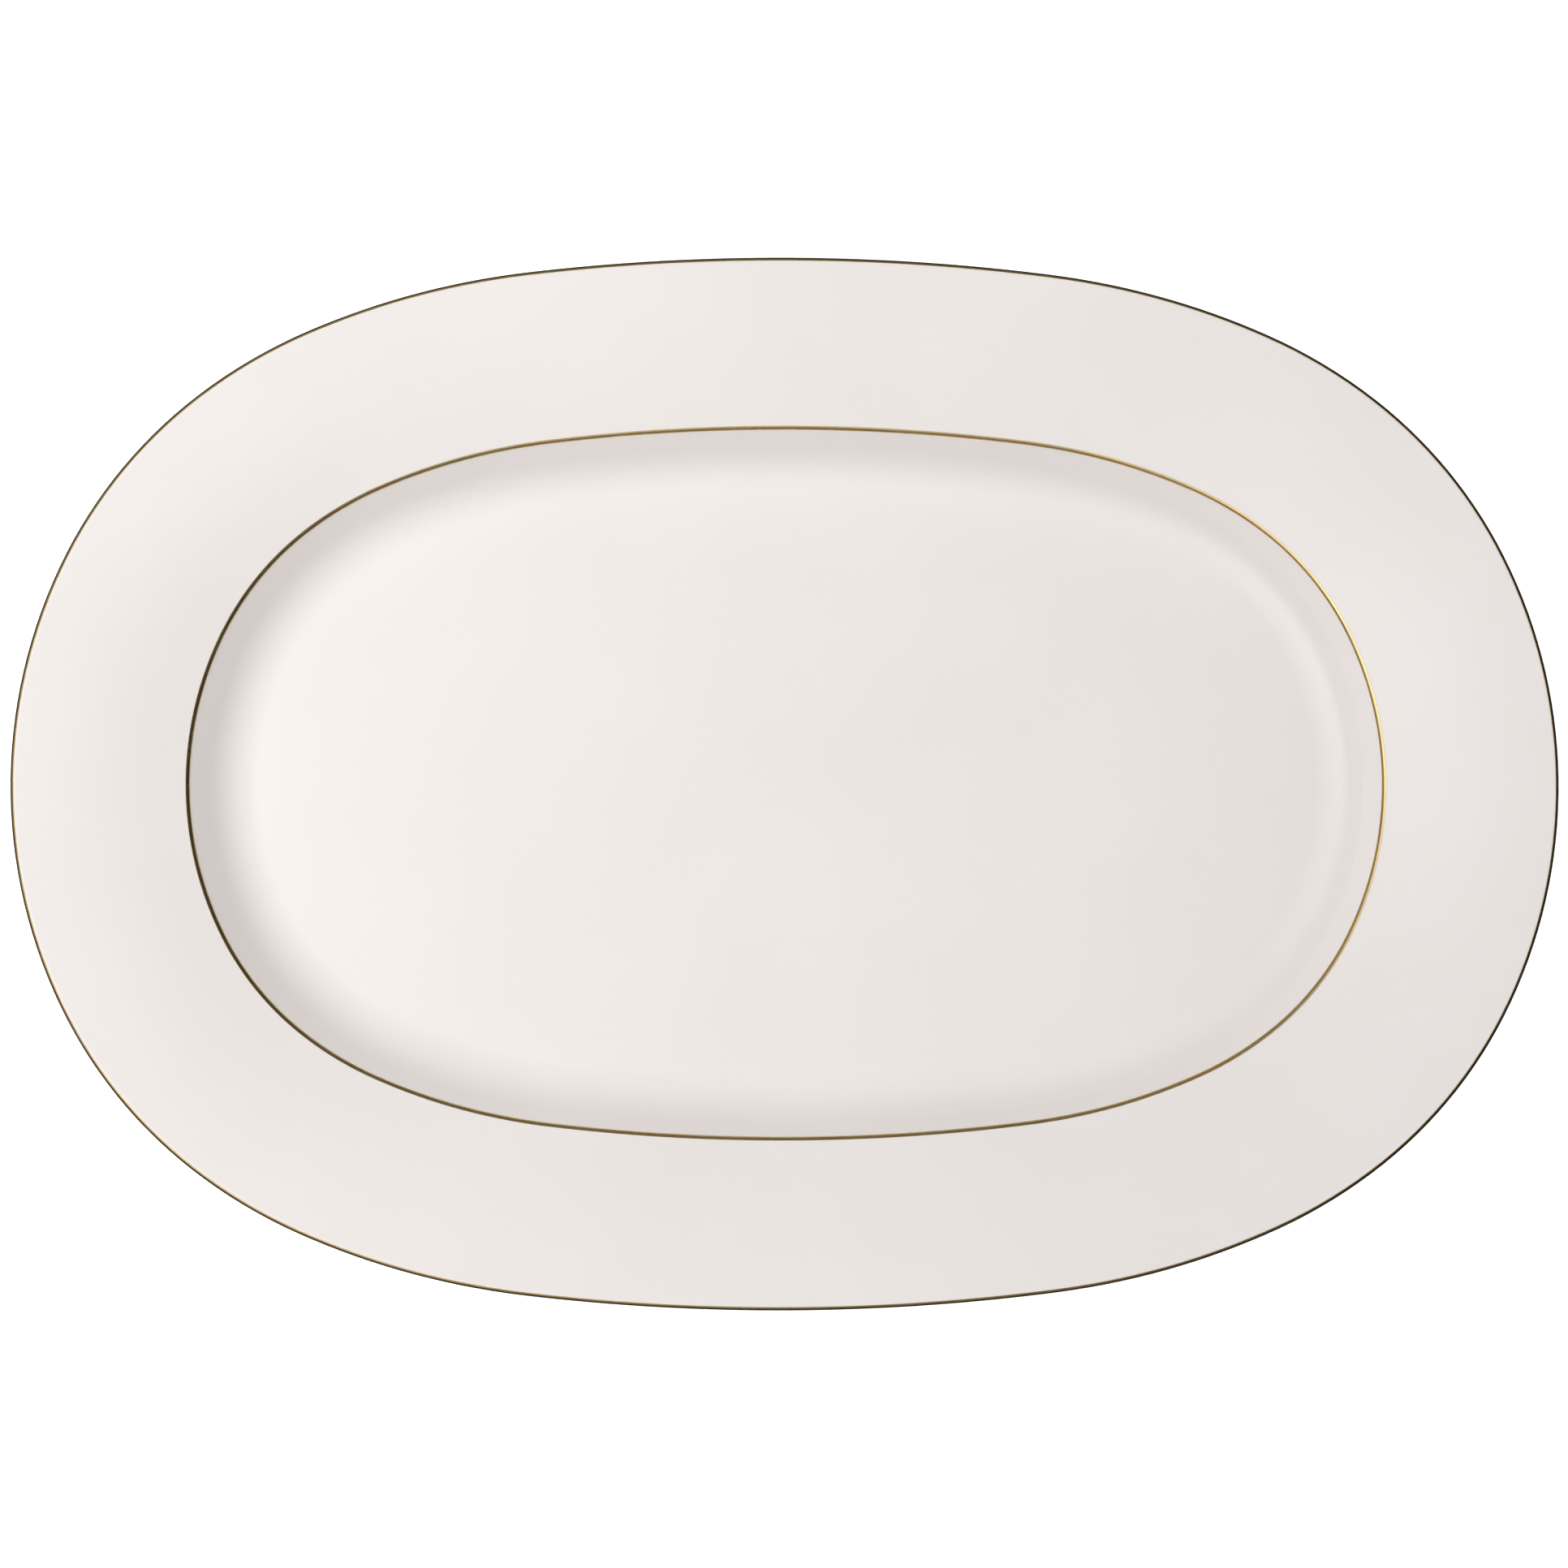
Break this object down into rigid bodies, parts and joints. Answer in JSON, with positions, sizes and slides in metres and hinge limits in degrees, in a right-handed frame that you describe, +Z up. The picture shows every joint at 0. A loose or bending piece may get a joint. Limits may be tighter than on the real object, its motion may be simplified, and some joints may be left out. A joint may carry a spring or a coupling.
{
  "type": "oval serving platter",
  "caption": "Oval china serving platter with a wide rising rim, a shallow flat-floored well, a low foot ring and thin gilded bands on the lip and the edge of the well.",
  "frame": {"origin": "under the middle of the platter, on the plane that its foot ring stands on", "axes": "+X along the long axis, +Y across it, +Z up out of the well"},
  "size_m": [0.41, 0.279, 0.0336],
  "materials": {
    "bisque": "matte",
    "glaze": "gloss",
    "gold": "polished"
  },
  "bodies": {
    "root": {"china_body": "bisque", "face_glaze": "glaze", "underside_glaze": "glaze", "rim_gold_band": "gold", "well_gold_band": "gold"}
  },
  "joints": []
}
